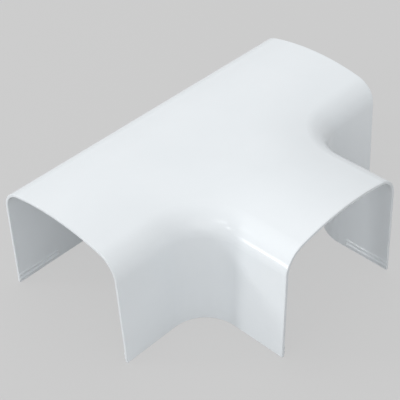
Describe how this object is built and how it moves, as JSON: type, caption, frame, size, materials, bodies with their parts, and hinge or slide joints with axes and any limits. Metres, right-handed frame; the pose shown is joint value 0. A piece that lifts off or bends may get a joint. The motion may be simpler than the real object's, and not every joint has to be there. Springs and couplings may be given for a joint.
{
  "type": "trunking tee fitting",
  "caption": "Clip-over tee cover for trunking: a thin moulded shell with an arched crown, open below, that joins a straight run and a side branch.",
  "frame": {"origin": "where the middle planes of run and branch cross, on the plane of the foot rim", "axes": "+X along the run, -Y towards the branch's mouth, +Z from the foot rim up to the crown"},
  "size_m": [0.189, 0.1362, 0.0683],
  "materials": {
    "white_plastic": "smooth glossy white, as moulded"
  },
  "bodies": {
    "root": {"tee_cover": "white_plastic"}
  },
  "joints": []
}
